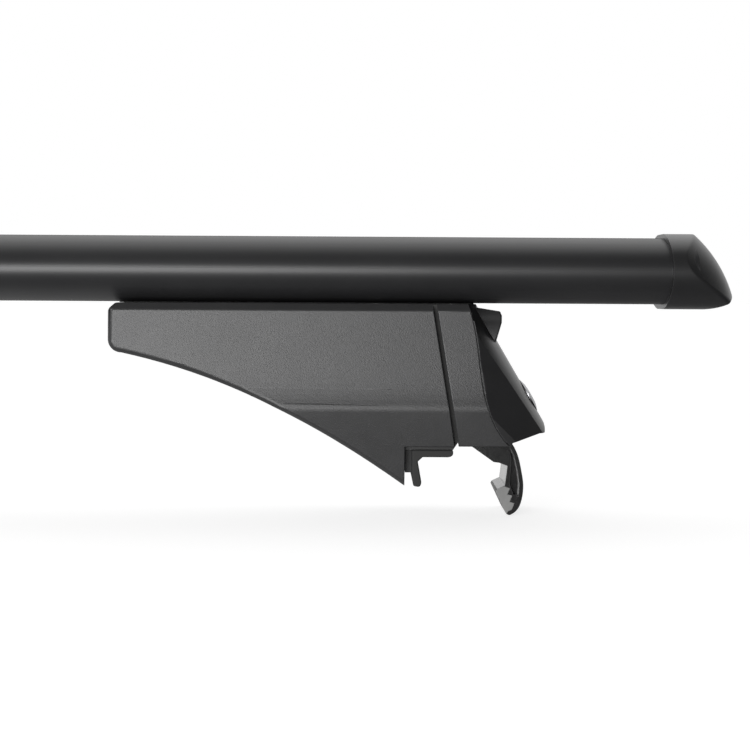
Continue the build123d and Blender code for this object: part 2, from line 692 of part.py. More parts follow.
def base_bracket():
    """Folded and welded steel bracket that carries the bar, the pad and the clamp."""
    plate_low = RAIL_Z + PAD_THICKNESS
    inner = HALF_BRACKET - PLATE
    bracket = slab(bracket_side_outline(), HALF_BRACKET) - slab(bracket_side_outline(), inner)
    bracket += block(
        -BRACKET_BACK, BRACKET_FRONT, -HALF_BRACKET, HALF_BRACKET, -SLIDE_CLEARANCE - TOP_PLATE, -SLIDE_CLEARANCE
    )
    bracket += block(
        -NOTCH_BACK + 0.2, PAD_REACH, -HALF_BRACKET, HALF_BRACKET, plate_low, plate_low + PLATE
    )
    tongue_half = HALF_BRACKET - TONGUE_PLATE_INSET
    bracket += block(
        -NOTCH_BACK + 0.2,
        -NOTCH_BACK + 0.2 + PLATE,
        -tongue_half,
        tongue_half,
        RAIL_Z - TONGUE_DROP,
        plate_low + PLATE,
    )
    seat = Pos(0, 0, SEAT_PLATE / 2) * Box(2 * HALF_BRACKET - PLATE, 2 * SEAT_HALF, SEAT_PLATE)
    seat_hole = Cylinder(BOLT_RADIUS + RUNNING_CLEARANCE, 4 * SEAT_PLATE)
    bracket += bolt_frame(SEAT_OFFSET) * seat
    bracket -= bolt_frame(SEAT_OFFSET) * seat_hole
    lock_x, lock_z = lock_point()
    lock_frame = along(lock_x, lock_z, face_angle())
    catch_edge = HALF_BRACKET - PLATE / 2
    catch_y = (catch_edge + CATCH_TIP) / 2
    catch_depth = LOCK_BODY_LENGTH - CATCH_THICKNESS / 2
    for side in SIDES:
        catch = Pos(side * catch_y, 0, -catch_depth) * Box(catch_edge - CATCH_TIP, CAM_WIDTH, CATCH_THICKNESS)
        bracket += lock_frame * catch
        for x in SCREW_PLACES:
            hole = Pos(x, side * SCREW_Y, -SLIDE_CLEARANCE - TOP_PLATE / 2)
            bracket -= hole * Cylinder(SCREW_RADIUS, 2 * TOP_PLATE)
            bracket -= Pos(x, side * SCREW_Y, -SLIDE_CLEARANCE) * screw_head()
    for x in T_BOLT_PLACES:
        bracket -= Pos(x, 0, -TOP_PLATE / 2) * Cylinder(T_BOLT_RADIUS, 3 * TOP_PLATE)
    pivot_x, pivot_z = pivot()
    bracket -= cross_pin(pivot_x, pivot_z, PIN_RADIUS, FOOT_WIDTH)
    return bracket


def rail_pad():
    """Rubber pad, L-shaped: it sits on the rail's top and against its inner side."""
    top_z = RAIL_Z + PAD_THICKNESS
    leg_z = RAIL_Z - PAD_LEG_DROP
    outline = side_face(
        [
            (-PAD_LEG_BACK, top_z),
            (PAD_REACH, top_z),
            (PAD_REACH, RAIL_Z + 1.0),
            (PAD_REACH - 1.4, RAIL_Z),
            (1.2, RAIL_Z),
            (-0.9, RAIL_Z - 2.0),
            (0.8, leg_z + 1.8),
            (0.0, leg_z),
            (-2.9, leg_z + 0.4),
            (-PAD_LEG_BACK, leg_z + 4.0),
        ]
    )
    return slab(outline, HALF_PAD)


def hook_points():
    """Outline of the jaw's hook, from its outer shoulder round its toe to its inner side."""
    x, z = PIVOT_X, RAIL_Z
    outer = [(x + 11.2, z + 5.7), (x + 13.8, z + 0.2), (x + 15.4, z - 6.7), (x + 16.2, z - 12.4)]
    outer += [(x + 15.8, z - 18.0), (x + 13.9, z - 23.4)]
    toe = [(x + 9.9, z - HOOK_DEPTH), (x + 8.6, z - HOOK_DEPTH + 0.6)]
    return outer, toe


def tooth_points():
    """Stepped line between the jaw and its pad, from the toe up to the hook's mouth."""
    x, z = PIVOT_X, RAIL_Z
    low = (x + 9.6, z - HOOK_DEPTH + 1.9)
    points = [low]
    for index in range(TOOTH_COUNT):
        base_x = x + 11.6 - 1.0 * index
        base_z = z - HOOK_DEPTH + 2.5 + 3.4 * index
        points += [(base_x - 0.6, base_z), (base_x + 0.6, base_z + 3.4 - 0.5), (base_x - 1.2, base_z + 3.4)]
    return points


def jaw_pad_outline():
    x, z = PIVOT_X, RAIL_Z
    teeth = tooth_points()
    face = [(x + 8.6, z - HOOK_DEPTH + 0.6), (x + 3.8, z - 15.6), (x + 4.4, z - 14.6), (x + 7.6, z - 13.3)]
    return side_face(face + list(reversed(teeth)))


def jaw():
    """Hooked jaw with two lever arms: flanged edges, sides pocketed to leave ribs."""
    pivot_x, pivot_z = pivot()
    x, z = PIVOT_X, RAIL_Z
    outer, toe = hook_points()
    mouth = [(x + 3.8, z - 15.6), (x + 4.4, z - 14.6), (x + 7.9, z - 13.0), (x + 9.0, z - 4.2)]
    shoulder = [(x + 5.3, z - 2.8), (x + 2.8, z - 2.5)]
    neck = [(pivot_x - 9.0, pivot_z - 5.9), (pivot_x - 7.0, pivot_z + 6.0), (pivot_x + 7.0, pivot_z + 6.0)]
    profile = Plane.XZ * make_face(
        [Spline(*outer, toe[0]), Polyline(toe[0], toe[1], *mouth, *shoulder, *neck, outer[0])]
    )
    body = slab(profile, HALF_JAW)
    outer_side = [(px - JAW_FLANGE, pz) for px, pz in outer[:-1]]
    inner_side = [(x + 9.9 + JAW_FLANGE, z - 17.0), (x + 8.2 + JAW_FLANGE, z - 12.0), (x + 9.0 + JAW_FLANGE, z - 1.0)]
    pocket = slab(side_face(outer_side + inner_side), 2 * HALF_JAW)
    body -= pocket - slab(profile, HALF_JAW - JAW_POCKET)
    body -= slab(jaw_pad_outline(), HALF_JAW)
    bx, bz = barrel_rest()
    arm = arm_outline(pivot_x, pivot_z, bx, bz)
    arms = slab(arm, ARM_OUTER) - slab(arm, ARM_INNER)
    saddle_cut = Pos(pivot_x, 0, pivot_z) * Rot(90, 0, 0) * Cylinder(ARM_BOSS + 0.6, 2 * ARM_INNER)
    body = body - saddle_cut + arms
    body -= cross_pin(pivot_x, pivot_z, PIN_RADIUS + RUNNING_CLEARANCE, FOOT_WIDTH)
    body -= cross_pin(bx, bz, BARREL_RADIUS + RUNNING_CLEARANCE, FOOT_WIDTH)
    return body


def arm_outline(pivot_x, pivot_z, bx, bz):
    """Lever arm from the pivot boss to the barrel nut's boss, with a gusset below."""
    ring = Pos(pivot_x, pivot_z) * Circle(ARM_BOSS)
    eye = Pos(bx, bz) * Circle(ARM_BOSS)
    ux = (bx - pivot_x) / LEVER
    uz = (bz - pivot_z) / LEVER
    web = make_face(
        Polyline(
            (pivot_x - uz * ARM_BOSS, pivot_z + ux * ARM_BOSS),
            (bx - uz * ARM_BOSS, bz + ux * ARM_BOSS),
            (bx + uz * ARM_BOSS, bz - ux * ARM_BOSS),
            (pivot_x + uz * ARM_BOSS, pivot_z - ux * ARM_BOSS),
            close=True,
        )
    )
    gusset = make_face(
        Polyline(
            (bx - 5.6, bz - 7.2),
            (pivot_x + 2.8, RAIL_Z - 2.5),
            (pivot_x + 6.0, pivot_z),
            (bx, bz),
            close=True,
        )
    )
    return Plane.XZ * (ring + eye + web + gusset)


def jaw_pad():
    return slab(jaw_pad_outline(), HALF_JAW)


def jaw_pin():
    """Pivot pin through both side plates, grooved near each end for a clip."""
    x, z = pivot()
    pin = cross_pin(x, z, PIN_RADIUS, HALF_BRACKET + PIN_END)
    for side in SIDES:
        groove = cross_pin(x, z, PIN_RADIUS + CUT_MARGIN, CLIP_THICKNESS / 2)
        groove -= cross_pin(x, z, PIN_RADIUS - GROOVE_DEPTH, CLIP_THICKNESS / 2)
        pin -= Pos(0, side * (HALF_BRACKET + CLIP_THICKNESS / 2), 0) * groove
    return pin


def pin_clips():
    """Two retaining rings in the pin's grooves, split at the bottom."""
    x, z = pivot()
    clips = []
    for side in SIDES:
        ring = cross_pin(x, z, PIN_RADIUS + CLIP_RIM, CLIP_THICKNESS / 2)
        ring -= cross_pin(x, z, PIN_RADIUS - GROOVE_DEPTH, CLIP_THICKNESS / 2)
        ring -= block(x - CLIP_GAP / 2, x + CLIP_GAP / 2, -CUT_MARGIN, CUT_MARGIN, z - 2 * PIN_RADIUS, z)
        clips.append(Pos(0, side * (HALF_BRACKET + CLIP_THICKNESS / 2), 0) * ring)
    return Compound(children=clips)


def clamp_bolt():
    """Socket head bolt that draws the barrel nut up and swings the jaw inwards."""
    under_head = SEAT_OFFSET + SEAT_PLATE + WASHER_THICKNESS
    shank = Pos(0, 0, under_head - BOLT_LENGTH / 2) * Cylinder(BOLT_RADIUS, BOLT_LENGTH)
    head = Pos(0, 0, under_head + BOLT_HEAD_HEIGHT / 2) * Cylinder(BOLT_HEAD_RADIUS, BOLT_HEAD_HEIGHT)
    head = chamfer(head.edges().group_by(Axis.Z)[-1], 0.5)
    socket_z = under_head + BOLT_HEAD_HEIGHT - 3.0
    socket = Pos(0, 0, socket_z) * extrude(RegularPolygon(HEX_ACROSS / 2, 6, major_radius=False), 4.0)
    return bolt_frame(0) * (shank + head - socket)


def bolt_washer():
    ring = Cylinder(WASHER_RADIUS, WASHER_THICKNESS) - Cylinder(BOLT_RADIUS + 0.2, 2 * WASHER_THICKNESS)
    return bolt_frame(SEAT_OFFSET + SEAT_PLATE + WASHER_THICKNESS / 2) * ring


def barrel_nut():
    """Cross-drilled barrel that spans the two lever arms; its thread is a plain hole."""
    x, z = barrel_rest()
    body = cross_pin(x, z, BARREL_RADIUS, ARM_OUTER + 1.0)
    drift = LEVER * (1 - math.cos(math.radians(JAW_SWING / 2))) / 2
    return body - along(*bolt_line(), BOLT_ANGLE) * Cylinder(BOLT_RADIUS + 2 * drift + SLIDE_CLEARANCE / 2, 4 * LEVER)


def screw_head():
    """Countersunk head, its face at z = 0."""
    depth = SCREW_HEAD_RADIUS - SCREW_RADIUS
    return Pos(0, 0, -depth / 2) * Cone(SCREW_RADIUS, SCREW_HEAD_RADIUS, depth)


def shell_screws():
    """Four countersunk screws that hold the fairing and the housing under the bracket."""
    screws = []
    for x in SCREW_PLACES:
        for side in SIDES:
            shank = Pos(0, 0, -SCREW_LENGTH / 2) * Cylinder(SCREW_RADIUS, SCREW_LENGTH)
            recess = Pos(0, 0, -0.6) * Box(0.8, 2 * SCREW_RADIUS, 1.2) + Pos(0, 0, -0.6) * Box(2 * SCREW_RADIUS, 0.8, 1.2)
            screw = shank + screw_head() - recess
            screws.append(Pos(x, side * SCREW_Y, -SLIDE_CLEARANCE) * screw)
    return Compound(children=screws)


def t_bolts():
    """Two bolts whose flat heads slide in the bar's lower slot."""
    head_low = SLOT_LIP + SLIDE_CLEARANCE
    bolts = []
    for x in T_BOLT_PLACES:
        head = block(
            -T_HEAD_LENGTH / 2,
            T_HEAD_LENGTH / 2,
            -SLOT_CHAMBER_WIDTH / 2 + 2 * SLIDE_CLEARANCE,
            SLOT_CHAMBER_WIDTH / 2 - 2 * SLIDE_CLEARANCE,
            head_low,
            head_low + T_HEAD_HEIGHT,
        )
        head = chamfer(head.edges().filter_by(Axis.Z), 1.5)
        low = -T_BOLT_REACH
        shank = Pos(0, 0, (head_low + low) / 2) * Cylinder(T_BOLT_RADIUS, head_low - low)
        bolts.append(Pos(x, 0, 0) * (head + shank))
    return Compound(children=bolts)


def flange_nuts():
    """Hexagon nuts with flanges, under the bracket's top plate."""
    nuts = []
    seat_z = -SLIDE_CLEARANCE - TOP_PLATE
    for x in T_BOLT_PLACES:
        hexagon = extrude(RegularPolygon(NUT_ACROSS / 2, 6, major_radius=False), -NUT_HEIGHT)
        flange = Pos(0, 0, -NUT_FLANGE / 2) * Cylinder(NUT_FLANGE_RADIUS, NUT_FLANGE)
        nut = hexagon + flange - Cylinder(T_BOLT_RADIUS, 4 * NUT_HEIGHT)
        nuts.append(Pos(x, 0, seat_z) * nut)
    return Compound(children=nuts)


FOOT_PIECES = {
    "inner_fairing": inner_fairing,
    "outer_housing": outer_housing,
    "lock_cover": lock_cover,
    "lock_bezel": lock_bezel,
    "lock_plug": lock_plug,
    "lock_cam": lock_cam,
    "base_bracket": base_bracket,
    "rail_pad": rail_pad,
    "jaw": jaw,
    "jaw_pad": jaw_pad,
    "jaw_pin": jaw_pin,
    "pin_clips": pin_clips,
    "clamp_bolt": clamp_bolt,
    "bolt_washer": bolt_washer,
    "barrel_nut": barrel_nut,
    "shell_screws": shell_screws,
    "t_bolts": t_bolts,
    "flange_nuts": flange_nuts,
}


def save(name, shape):
    export_step(shape, os.path.join("parts", name + ".step"))


def main():
    os.makedirs("parts", exist_ok=True)
    save("bar", bar())
    save("slot_strip", slot_strip())
    cap = end_cap()
    save("end_cap_right", cap)
    save("end_cap_left", mirror(cap, Plane.YZ))
    for name, make in FOOT_PIECES.items():
        piece = Pos(FOOT_X, 0, UNDERSIDE_Z) * make()
        save(name + "_right", piece)
        save(name + "_left", mirror(piece, Plane.YZ))


main()
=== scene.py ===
import json
import math

import bmesh
import bpy
from mathutils import Matrix, Vector


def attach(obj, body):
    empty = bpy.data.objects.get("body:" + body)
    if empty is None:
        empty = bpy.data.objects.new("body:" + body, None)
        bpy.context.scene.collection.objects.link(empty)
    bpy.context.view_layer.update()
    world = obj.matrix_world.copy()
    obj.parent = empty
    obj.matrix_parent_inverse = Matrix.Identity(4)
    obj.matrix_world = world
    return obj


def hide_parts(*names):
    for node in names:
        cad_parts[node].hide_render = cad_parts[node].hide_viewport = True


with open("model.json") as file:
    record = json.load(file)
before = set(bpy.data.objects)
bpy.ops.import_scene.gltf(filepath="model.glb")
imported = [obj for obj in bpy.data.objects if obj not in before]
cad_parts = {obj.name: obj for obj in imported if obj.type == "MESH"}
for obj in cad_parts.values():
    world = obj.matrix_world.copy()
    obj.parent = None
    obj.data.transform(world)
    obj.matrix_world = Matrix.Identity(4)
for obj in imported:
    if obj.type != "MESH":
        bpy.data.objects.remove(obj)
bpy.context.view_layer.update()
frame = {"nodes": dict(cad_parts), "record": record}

MM = 0.001
SIDES = (("right", 1), ("left", -1))


# Node groups
def new_group(name, inputs, outputs):
    """Empty shader group with its own sockets."""
    group = bpy.data.node_groups.new(name, "ShaderNodeTree")
    for label, kind, value in inputs:
        socket = group.interface.new_socket(label, in_out="INPUT", socket_type=kind)
        if value is not None:
            socket.default_value = value
    for label, kind in outputs:
        group.interface.new_socket(label, in_out="OUTPUT", socket_type=kind)
    return group, group.nodes.new("NodeGroupInput"), group.nodes.new("NodeGroupOutput")


def add_node(tree, kind, links=None, **settings):
    """Node with its settings and its incoming links."""
    node = tree.nodes.new(kind)
    for key, value in settings.items():
        setattr(node, key, value)
    for socket, source in (links or {}).items():
        if hasattr(source, "is_linked"):
            tree.links.new(source, node.inputs[socket])
        else:
            node.inputs[socket].default_value = source
    return node


def moulded_grain():
    """Fine spark-eroded grain: a height and a mottle mask."""
    group, entry, leave = new_group(
        "moulded_grain",
        [
            ("Vector", "NodeSocketVector", None),
            ("Grain", "NodeSocketFloat", 1600.0),
            ("Mottle", "NodeSocketFloat", 60.0),
        ],
        [("Height", "NodeSocketFloat"), ("Mottle", "NodeSocketFloat")],
    )
    fine = add_node(
        group, "ShaderNodeTexNoise",
        {"Vector": entry.outputs["Vector"], "Scale": entry.outputs["Grain"], "Detail": 2.0, "Roughness": 0.6},
    )
    pits = add_node(
        group, "ShaderNodeTexVoronoi",
        {"Vector": entry.outputs["Vector"], "Scale": entry.outputs["Grain"]}, feature="SMOOTH_F1",
    )
    both = add_node(
        group, "ShaderNodeMath", {0: fine.outputs["Fac"], 1: pits.outputs["Distance"]}, operation="ADD",
    )
    cloudy = add_node(
        group, "ShaderNodeTexNoise",
        {
            "Vector": entry.outputs["Vector"], "Scale": entry.outputs["Mottle"],
            "Detail": 4.0, "Roughness": 0.65,
        },
    )
    group.links.new(both.outputs[0], leave.inputs["Height"])
    group.links.new(cloudy.outputs["Fac"], leave.inputs["Mottle"])
    return group


def edge_rub():
    """Mask that is bright along a piece's edges, broken up by a noise."""
    group, entry, leave = new_group(
        "edge_rub",
        [("Vector", "NodeSocketVector", None), ("Break up", "NodeSocketFloat", 300.0)],
        [("Mask", "NodeSocketFloat")],
    )
    bevel = add_node(group, "ShaderNodeBevel", {"Radius": 0.0005}, samples=6)
    geometry = add_node(group, "ShaderNodeNewGeometry")
    dot = add_node(
        group, "ShaderNodeVectorMath",
        {0: bevel.outputs["Normal"], 1: geometry.outputs["Normal"]}, operation="DOT_PRODUCT",
    )
    edge = add_node(
        group, "ShaderNodeMapRange",
        {"Value": dot.outputs["Value"], "From Min": 0.995, "From Max": 0.9, "To Min": 0.0, "To Max": 1.0},
    )
    worn = add_node(
        group, "ShaderNodeTexNoise",
        {"Vector": entry.outputs["Vector"], "Scale": entry.outputs["Break up"], "Detail": 3.0},
    )
    mask = add_node(
        group, "ShaderNodeMath", {0: edge.outputs["Result"], 1: worn.outputs["Fac"]}, operation="MULTIPLY",
    )
    group.links.new(mask.outputs[0], leave.inputs["Mask"])
    return group


def drawn_lines():
    """Faint streaks along X, as an extruded or a rolled surface has."""
    group, entry, leave = new_group(
        "drawn_lines",
        [
            ("Vector", "NodeSocketVector", None),
            ("Across", "NodeSocketFloat", 900.0),
            ("Along", "NodeSocketFloat", 6.0),
        ],
        [("Height", "NodeSocketFloat")],
    )
    stretch = add_node(
        group, "ShaderNodeCombineXYZ",
        {"X": entry.outputs["Along"], "Y": entry.outputs["Across"], "Z": entry.outputs["Across"]},
    )
    scaled = add_node(
        group, "ShaderNodeVectorMath",
        {0: entry.outputs["Vector"], 1: stretch.outputs["Vector"]}, operation="MULTIPLY",
    )
    noise = add_node(
        group, "ShaderNodeTexNoise",
        {"Vector": scaled.outputs["Vector"], "Scale": 1.0, "Detail": 3.0, "Roughness": 0.7},
    )
    group.links.new(noise.outputs["Fac"], leave.inputs["Height"])
    return group


GRAIN = moulded_grain()
RUB = edge_rub()
LINES = drawn_lines()


# Materials
def start_material(name, roughness, ior=1.45, metallic=0.0, coat=0.0):
    """Material with a Principled shader, Object coordinates and an empty tree."""
    material = bpy.data.materials.new(name)
    material.use_nodes = True
    tree = material.node_tree
    tree.nodes.clear()
    output = tree.nodes.new("ShaderNodeOutputMaterial")
    shader = tree.nodes.new("ShaderNodeBsdfPrincipled")
    tree.links.new(shader.outputs["BSDF"], output.inputs["Surface"])
    shader.inputs["Roughness"].default_value = roughness
    shader.inputs["IOR"].default_value = ior
    shader.inputs["Metallic"].default_value = metallic
    shader.inputs["Coat Weight"].default_value = coat
    place = tree.nodes.new("ShaderNodeTexCoord")
    return material, tree, shader, place.outputs["Object"]


def shade_between(tree, mask, dark, light):
    """Base colour that runs from dark to light with a mask."""
    mix = add_node(tree, "ShaderNodeMix", {"Factor": mask}, data_type="RGBA")
    mix.inputs["A"].default_value = (*dark, 1.0)
    mix.inputs["B"].default_value = (*light, 1.0)
    return mix.outputs["Result"]


def rough_between(tree, shader, mask, low, high):
    """Roughness that runs from low to high with a mask."""
    spread = add_node(tree, "ShaderNodeMapRange", {"Value": mask, "To Min": low, "To Max": high})
    tree.links.new(spread.outputs["Result"], shader.inputs["Roughness"])


def raise_surface(tree, shader, height, strength, distance):
    bump = add_node(tree, "ShaderNodeBump", {"Height": height, "Strength": strength, "Distance": distance})
    tree.links.new(bump.outputs["Normal"], shader.inputs["Normal"])


def grained_material(name, grain, mottle, dark, light, worn, rough, strength, distance, ior=1.45):
    """Moulded or coated surface with grain, mottle and rubbed edges."""
    material, tree, shader, place = start_material(name, rough[1], ior)
    surface = add_node(tree, "ShaderNodeGroup", node_tree=GRAIN)
    tree.links.new(place, surface.inputs["Vector"])
    surface.inputs["Grain"].default_value = grain
    surface.inputs["Mottle"].default_value = mottle
    rub = add_node(tree, "ShaderNodeGroup", node_tree=RUB)
    tree.links.new(place, rub.inputs["Vector"])
    body = shade_between(tree, surface.outputs["Mottle"], dark, light)
    edged = add_node(tree, "ShaderNodeMix", {"Factor": rub.outputs["Mask"]}, data_type="RGBA")
    tree.links.new(body, edged.inputs["A"])
    edged.inputs["B"].default_value = (*worn, 1.0)
    tree.links.new(edged.outputs["Result"], shader.inputs["Base Color"])
    rough_between(tree, shader, surface.outputs["Mottle"], *rough)
    raise_surface(tree, shader, surface.outputs["Height"], strength, distance)
    return material


def bar_coating():
    material, tree, shader, place = start_material("black_bar_coating", 0.5, 1.4)
    lines = add_node(tree, "ShaderNodeGroup", node_tree=LINES)
    tree.links.new(place, lines.inputs["Vector"])
    grain = add_node(tree, "ShaderNodeGroup", node_tree=GRAIN)
    tree.links.new(place, grain.inputs["Vector"])
    grain.inputs["Grain"].default_value = 2600.0
    grain.inputs["Mottle"].default_value = 25.0
    colour = shade_between(tree, grain.outputs["Mottle"], (0.006, 0.006, 0.0065), (0.011, 0.011, 0.0115))
    tree.links.new(colour, shader.inputs["Base Color"])
    rough_between(tree, shader, lines.outputs["Height"], 0.4, 0.46)
    raise_surface(tree, shader, grain.outputs["Height"], 0.15, 0.00005)
    return material


def plated_steel(name, dark, light, rough):
    material, tree, shader, place = start_material(name, rough[0], 1.5, 1.0)
    lines = add_node(tree, "ShaderNodeGroup", node_tree=LINES)
    tree.links.new(place, lines.inputs["Vector"])
    lines.inputs["Along"].default_value = 120.0
    colour = shade_between(tree, lines.outputs["Height"], dark, light)
    tree.links.new(colour, shader.inputs["Base Color"])
    rough_between(tree, shader, lines.outputs["Height"], *rough)
    raise_surface(tree, shader, lines.outputs["Height"], 0.2, 0.00005)
    return material


MATERIALS = {
    "black_aluminium": bar_coating(),
    "satin_plastic": grained_material(
        "satin_moulding", 3000.0, 40.0, (0.006, 0.006, 0.0063), (0.01, 0.01, 0.0104), (0.03, 0.03, 0.031),
        (0.3, 0.38), 0.1, 0.00005,
    ),
    "textured_plastic": grained_material(
        "grained_moulding", 2500.0, 60.0, (0.012, 0.012, 0.0123), (0.02, 0.02, 0.0205), (0.04, 0.04, 0.041),
        (0.38, 0.47), 0.5, 0.00012, 1.38,
    ),
    "rubber": grained_material(
        "black_rubber", 1800.0, 120.0, (0.01, 0.01, 0.01), (0.018, 0.018, 0.0175), (0.03, 0.03, 0.03),
        (0.75, 0.9), 0.3, 0.0001, 1.3,
    ),
    "grey_rubber": grained_material(
        "grey_grip_rubber", 1800.0, 120.0, (0.08, 0.08, 0.079), (0.12, 0.12, 0.118), (0.16, 0.16, 0.157),
        (0.7, 0.85), 0.3, 0.0001,
    ),
    "coated_steel": grained_material(
        "powder_coated_steel", 1400.0, 90.0, (0.004, 0.004, 0.004), (0.008, 0.008, 0.008), (0.05, 0.05, 0.05),
        (0.45, 0.6), 0.25, 0.0001, 1.3,
    ),
    "coated_casting": grained_material(
        "gloss_coated_casting", 700.0, 90.0, (0.004, 0.004, 0.004), (0.007, 0.007, 0.007), (0.05, 0.05, 0.05),
        (0.14, 0.22), 0.15, 0.0001, 1.45,
    ),
    "zinc_steel": plated_steel("zinc_plating", (0.42, 0.43, 0.42), (0.62, 0.62, 0.6), (0.3, 0.45)),
    "lock_metal": plated_steel("satin_lock_metal", (0.36, 0.36, 0.37), (0.5, 0.5, 0.51), (0.34, 0.44)),
}


def dress_cad_nodes():
    """Gives each CAD node the material of its slot."""
    slots = {part["node"]: part["material_slot"] for part in frame["record"]["subparts"]}
    for name, node in frame["nodes"].items():
        node.data.materials.clear()
        node.data.materials.append(MATERIALS[slots[name]])


dress_cad_nodes()

# Rounded shells and clamp parts, made from merged copies of the CAD nodes
FOOT_X = 0.477
BAR_UNDERSIDE = 0.0954
HALF_FOOT = 28.0
HALF_BODY = 26.2
CREASE = -46.7
FLARE_START = -27.1
FLARE_ROWS = (18.6, 15.5, 13.0, 10.5, 8.3, 6.3, 4.0)
BOSS_BOTTOM = -11.0
LOWER_DRAFT = math.radians(17.0)
NOTCH_TOP = -64.2
NOTCH_BACK = -6.8
SEAM_TOP = 5.0
SEAM_SLOPE = 0.1638
SEAM_GAP = 1.8
# Size and place of the dark strips in the seam: painted shade, standing in for the shade inside the gap
SHADE_STRIP_TOP = -0.8
SHADE_STRIP_BOTTOM = -60.0
SHADE_STRIP_DEPTH = 2.6
SHADE_STRIP_ROWS = (0.2, 0.0, -0.1, -0.2, -0.28, -0.36, -0.44)
GRIP_BOTTOM = -18.0
GRIP_ROWS = (-3.5, -6.0, -8.5, -11.0, -13.5, -16.0)
GRIP_NARROWING = 0.35
# More sizes of the dark strips that paint the seam's shade
SHADE_STRIP_THICKNESS = 0.8
SHADE_STRIP_OVERLAP = 0.1
SHADE_STRIP_APART = 4.0
SIDE_TOLERANCE = 0.25
WALL_TOLERANCE = 0.35
SEAM_MARGIN = 0.3
END_CORNER_BACK = -136.0
END_CORNER_BOTTOM = -3.8
SHELL_TOP = -3.6
SHELL_BOTTOM = -63.5
TONGUE_REACH = 2.6
TONGUE_INSET = 0.0007
TONGUE_RISE = 0.00034
GASKET_SIZE = (0.1625, 0.0132, 0.00034)
GASKET_SHIFT = -0.0565
GASKET_SINK = 0.0002
MERGE_DISTANCE = 0.000004
FLAT_ANGLE = math.radians(0.6)
CREASE_REACH = 2.0
CREASE_ROWS = (2.0, 1.2, 0.4, -0.4, -1.2, -2.0)


def half_width(z):
    """Half the foot's width in mm at a height under the bar."""
    if z < CREASE:
        return HALF_FOOT - (CREASE - z) * math.tan(LOWER_DRAFT)
    share = min(1.0, max(0.0, (FLARE_START - z) / (FLARE_START - CREASE)))
    return HALF_BODY + (HALF_FOOT - HALF_BODY) * share**3


def seam(z):
    return SEAM_TOP - z * SEAM_SLOPE


def in_foot(point, sign):
    """A point in mm from the foot's middle under the bar, X outwards along the bar."""
    return (sign * point.x - FOOT_X) / MM, point.y / MM, (point.z - BAR_UNDERSIDE) / MM


def on_side(point, sign):
    x, y, z = in_foot(point, sign)
    return abs(y) > half_width(z) - SIDE_TOLERANCE


def edit_only(piece):
    """Opens one piece alone in edit mode."""
    bpy.ops.object.select_all(action="DESELECT")
    bpy.context.view_layer.objects.active = piece
    piece.select_set(True)
    bpy.ops.object.mode_set(mode="EDIT")


def merged_copy(node, name):
    """Copy of a CAD node with its triangles merged into whole faces, open in edit mode."""
    piece = bpy.data.objects.new(name, frame["nodes"][node].data.copy())
    bpy.context.scene.collection.objects.link(piece)
    edit_only(piece)
    bpy.ops.mesh.customdata_custom_splitnormals_clear()
    bpy.ops.mesh.select_all(action="SELECT")
    bpy.ops.mesh.remove_doubles(threshold=MERGE_DISTANCE)
    bpy.ops.mesh.dissolve_limited(angle_limit=FLAT_ANGLE)
    return piece


def select_edges(piece, wanted, sharp=24.0):
    """Selects the outward edges sharper than an angle whose two ends pass a test."""
    bpy.ops.mesh.select_mode(type="EDGE")
    bpy.ops.mesh.select_all(action="DESELECT")
    shape = bmesh.from_edit_mesh(piece.data)
    count = 0
    for edge in shape.edges:
        if len(edge.link_faces) == 2 and edge.calc_face_angle_signed(0.0) > math.radians(sharp):
            if wanted(edge.verts[0].co, edge.verts[1].co):
                edge.select_set(True)
                count += 1
    bmesh.update_edit_mesh(piece.data)
    return count


def round_edges(piece, wanted, offset, segments=3, sharp=24.0, profile=0.5, clamp=False):
    if select_edges(piece, wanted, sharp):
        bpy.ops.mesh.bevel(
            offset=offset * MM, segments=segments, profile=profile, affect="EDGES", clamp_overlap=clamp,
        )


def anywhere(start, end):
    return True


def finish_piece(piece, body, slot, nodes=(), angle=32.0):
    """Leaves edit mode, smooths the piece, gives it the material of its slot, hangs it on its body and hides
    the CAD nodes it replaces.
    """
    bpy.ops.object.mode_set(mode="OBJECT")
    bpy.ops.object.shade_smooth_by_angle(angle=math.radians(angle))
    weighted = piece.modifiers.new("weighted", "WEIGHTED_NORMAL")
    weighted.keep_sharp = True
    bpy.ops.object.modifier_apply(modifier="weighted")
    piece.data.materials.clear()
    piece.data.materials.append(MATERIALS[slot])
    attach(piece, body)
    if nodes:
        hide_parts(*nodes)
    return piece


def tidy_faces():
    bpy.ops.mesh.select_all(action="SELECT")
    bpy.ops.mesh.remove_doubles(threshold=MERGE_DISTANCE)
    bpy.ops.mesh.dissolve_limited(angle_limit=FLAT_ANGLE)


def flatten_bosses(piece):
    """Presses flat what stands out of the straight part of the sides."""
    shape = bmesh.from_edit_mesh(piece.data)
    for vertex in shape.verts:
        if abs(vertex.co.y) > (HALF_BODY + 0.1) * MM and vertex.co.z > BAR_UNDERSIDE + BOSS_BOTTOM * MM:
            vertex.co.y = math.copysign(HALF_BODY * MM, vertex.co.y)
    bmesh.update_edit_mesh(piece.data)
    tidy_faces()


def crease_width(drop):
    """Half the foot's width in mm beside the crease, rounded over its reach."""
    share = (1 - drop / CREASE_REACH) / 2
    upper = half_width(CREASE + CREASE_REACH)
    lower = half_width(CREASE - CREASE_REACH)
    return (1 - share) ** 2 * upper + 2 * share * (1 - share) * HALF_FOOT + share**2 * lower


def cut_rows(heights):
    """Cuts the piece open in edit mode into level rows at heights in mm under the bar."""
    for height in heights:
        bpy.ops.mesh.select_all(action="SELECT")
        bpy.ops.mesh.bisect(plane_co=(0, 0, BAR_UNDERSIDE + height * MM), plane_no=(0, 0, 1))


